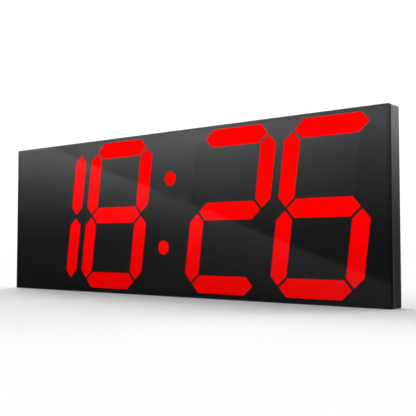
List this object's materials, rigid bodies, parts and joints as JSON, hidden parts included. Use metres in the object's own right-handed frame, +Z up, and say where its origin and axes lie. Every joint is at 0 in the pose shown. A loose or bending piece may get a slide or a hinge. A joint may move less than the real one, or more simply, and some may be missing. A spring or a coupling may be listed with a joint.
{
  "type": "round timer",
  "caption": "Slim black round timer with a smoked glossy front, slanted red segment digits and a colon, a metal frame, rear keys, fold-out feet and keyhole hangers.",
  "frame": {"origin": "centre of the footprint, on the surface that the timer stands on", "axes": "+X to the right as seen from the front, along the case; +Y to the back, so the display looks along -Y; +Z up"},
  "size_m": [0.475, 0.018, 0.162],
  "materials": {
    "smoked_acrylic": "polished, dark tint, clear",
    "black_tape": "matt",
    "mask_ink": "matt",
    "anodised_aluminium": "fine satin black anodised",
    "zinc_plated_steel": "satin",
    "black_oxide_steel": "satin black",
    "black_abs": "fine texture",
    "reflector_plastic": "matt",
    "lit_diffuser": "glowing red",
    "dark_diffuser": "unlit",
    "circuit_board": "solder mask",
    "led_package": "moulded",
    "chip_epoxy": "moulded",
    "connector_nylon": "moulded",
    "crystal_can": "satin",
    "copper_wire_sleeve": "satin",
    "switch_plastic": "moulded",
    "cell_steel": "satin",
    "receiver_epoxy": "glossy",
    "jack_plastic": "moulded",
    "nickel_plated_brass": "nickel plated",
    "keycap_plastic": "satin",
    "soft_pad": "matt"
  },
  "bodies": {
    "case": {"front_lens": "smoked_acrylic", "lens_tape": "black_tape", "mask_film": "mask_ink", "top_rail": "anodised_aluminium", "bottom_rail": "anodised_aluminium", "left_rail": "anodised_aluminium", "right_rail": "anodised_aluminium", "corner_keys": "zinc_plated_steel", "corner_key_screws": "black_oxide_steel", "rear_cover": "black_abs", "cover_screws": "black_oxide_steel", "hanger_plates": "zinc_plated_steel", "hanger_rivets": "zinc_plated_steel", "digit_1_reflector": "reflector_plastic", "digit_1_lit_segments": "lit_diffuser", "digit_1_dark_segments": "dark_diffuser", "digit_2_reflector": "reflector_plastic", "digit_2_lit_segments": "lit_diffuser", "digit_3_reflector": "reflector_plastic", "digit_3_lit_segments": "lit_diffuser", "digit_3_dark_segments": "dark_diffuser", "digit_4_reflector": "reflector_plastic", "digit_4_lit_segments": "lit_diffuser", "digit_4_dark_segments": "dark_diffuser", "reflector_screws": "zinc_plated_steel", "colon_reflector": "reflector_plastic", "colon_dots": "lit_diffuser", "left_display_board": "circuit_board", "right_display_board": "circuit_board", "left_board_leds": "led_package", "right_board_leds": "led_package", "colon_leds": "led_package", "led_driver_chips": "chip_epoxy", "led_resistors": "chip_epoxy", "smoothing_capacitors": "crystal_can", "board_link_connectors": "connector_nylon", "control_board": "circuit_board", "controller_chip": "chip_epoxy", "clock_crystal": "crystal_can", "power_connector": "connector_nylon", "power_leads": "copper_wire_sleeve", "tact_switches": "switch_plastic", "buzzer": "switch_plastic", "coin_cell_holder": "switch_plastic", "coin_cell": "cell_steel", "infrared_receiver": "receiver_epoxy", "power_jack": "jack_plastic", "power_jack_pin": "nickel_plated_brass", "power_jack_nut": "nickel_plated_brass", "foot_pins": "zinc_plated_steel"},
    "mode_key": {"mode_button": "keycap_plastic"},
    "up_key": {"up_button": "keycap_plastic"},
    "down_key": {"down_button": "keycap_plastic"},
    "start_key": {"start_button": "keycap_plastic"},
    "left_leg": {"left_foot": "black_abs", "left_foot_pad": "soft_pad"},
    "right_leg": {"right_foot": "black_abs", "right_foot_pad": "soft_pad"},
    "battery_lid": {"battery_door": "black_abs", "battery_door_screw": "black_oxide_steel"}
  },
  "joints": [
    {"name": "mode_press", "type": "slide", "parent": "case", "child": "mode_key", "axis": [0, -1, 0], "range_m": [0, 0.0005], "stiffness_N_per_m": 1200, "springref_m": -0.0006},
    {"name": "up_press", "type": "slide", "parent": "case", "child": "up_key", "axis": [0, -1, 0], "range_m": [0, 0.0005], "stiffness_N_per_m": 1200, "springref_m": -0.0006},
    {"name": "down_press", "type": "slide", "parent": "case", "child": "down_key", "axis": [0, -1, 0], "range_m": [0, 0.0005], "stiffness_N_per_m": 1200, "springref_m": -0.0006},
    {"name": "start_press", "type": "slide", "parent": "case", "child": "start_key", "axis": [0, -1, 0], "range_m": [0, 0.0005], "stiffness_N_per_m": 1200, "springref_m": -0.0006},
    {"name": "left_foot_fold", "type": "hinge", "parent": "case", "child": "left_leg", "pos_m": [-0.15, 0.0066, 0.00225], "axis": [-1, 0, 0], "range_deg": [0, 90]},
    {"name": "right_foot_fold", "type": "hinge", "parent": "case", "child": "right_leg", "pos_m": [0.15, 0.0066, 0.00225], "axis": [-1, 0, 0], "range_deg": [0, 90]},
    {"name": "battery_door_hinge", "type": "hinge", "parent": "case", "child": "battery_lid", "pos_m": [0, 0.00785, 0.0625], "axis": [-1, 0, 0], "range_deg": [0, 85]}
  ]
}
